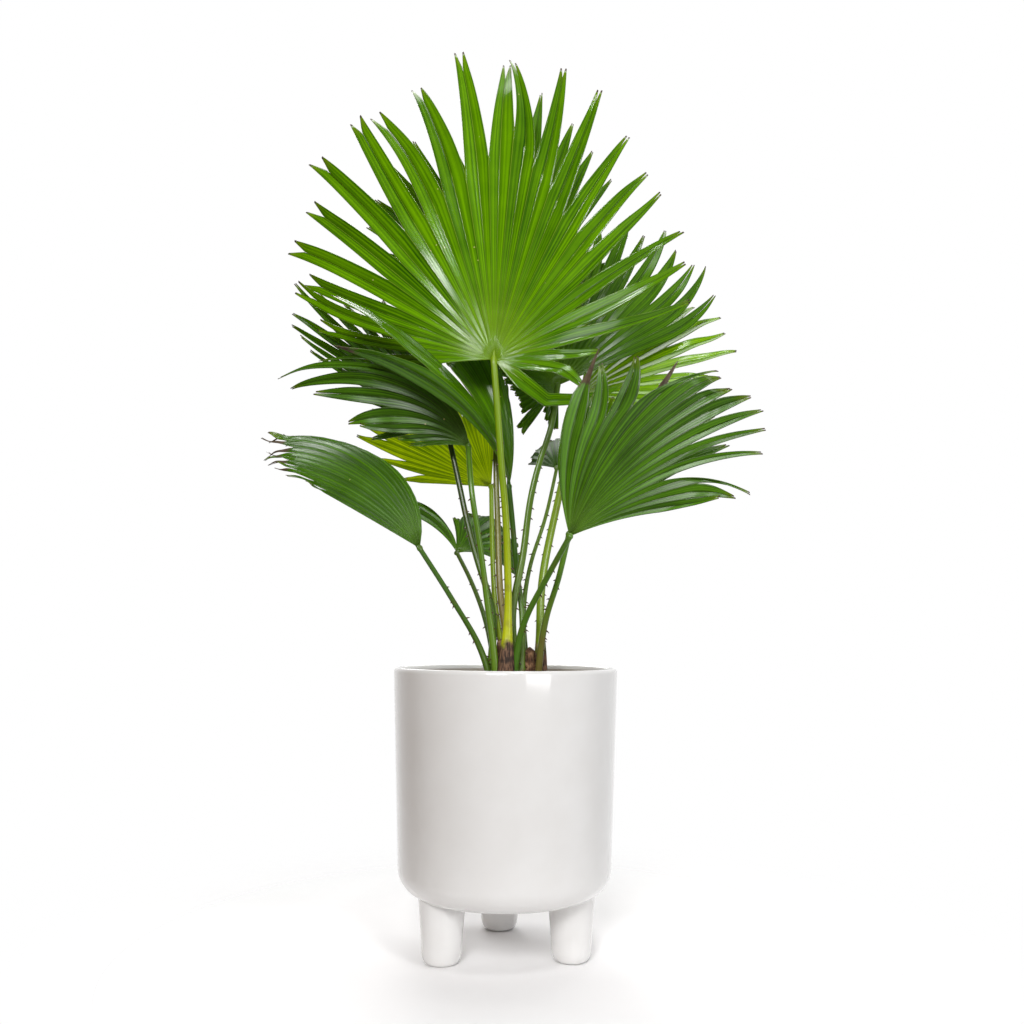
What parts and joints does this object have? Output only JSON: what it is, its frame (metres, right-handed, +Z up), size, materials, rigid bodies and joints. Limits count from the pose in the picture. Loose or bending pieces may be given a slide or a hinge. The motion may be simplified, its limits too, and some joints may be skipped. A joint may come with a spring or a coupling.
{
  "type": "potted footstool palm",
  "caption": "Footstool palm with pleated fan leaves on thorny stalks, rising from soil in a white glazed pot on short tapered feet.",
  "frame": {"origin": "on the floor under the axis of the pot", "axes": "+Z up along the pot's axis; -Y is the front that the tallest fan leaf faces; +X to the right seen from the front"},
  "size_m": [0.4206, 0.2912, 0.822],
  "materials": {
    "white_glaze": "white gloss glaze over fired clay",
    "nursery_plastic": "black injection-moulded plastic, satin",
    "potting_mix": "damp dark-brown potting mix of peat and bark, matt and crumbly",
    "stem_fibre": "brown fibrous leaf bases, matt",
    "petiole_green": "smooth green stalk, semi-gloss, with short brown thorns",
    "leaf_bright": "glossy bright-green palm leaf",
    "leaf_mid": "glossy mid-green palm leaf",
    "leaf_dark": "glossy dark-green palm leaf",
    "leaf_pale": "young yellow-green palm leaf, semi-gloss"
  },
  "bodies": {
    "root": {"ceramic_pot": "white_glaze", "nursery_pot": "nursery_plastic", "soil": "potting_mix", "stem_main": "stem_fibre", "stem_side": "stem_fibre", "petiole_crown_front": "petiole_green", "blade_crown_front": "leaf_bright", "petiole_crown_back": "petiole_green", "blade_crown_back": "leaf_mid", "petiole_right_upper": "petiole_green", "blade_right_upper": "leaf_dark", "petiole_left_middle": "petiole_green", "blade_left_middle": "leaf_dark", "petiole_left_low": "petiole_green", "blade_left_low": "leaf_dark", "petiole_pale": "petiole_green", "blade_pale": "leaf_pale", "petiole_right_low": "petiole_green", "blade_right_low": "leaf_dark", "petiole_centre": "petiole_green", "blade_centre": "leaf_mid", "petiole_left_upper": "petiole_green", "blade_left_upper": "leaf_dark", "petiole_rear_small": "petiole_green", "blade_rear_small": "leaf_mid", "petiole_right_middle": "petiole_green", "blade_right_middle": "leaf_bright", "petiole_rear_low": "petiole_green", "blade_rear_low": "leaf_dark", "petiole_right_inner": "petiole_green", "blade_right_inner": "leaf_mid"}
  },
  "joints": []
}
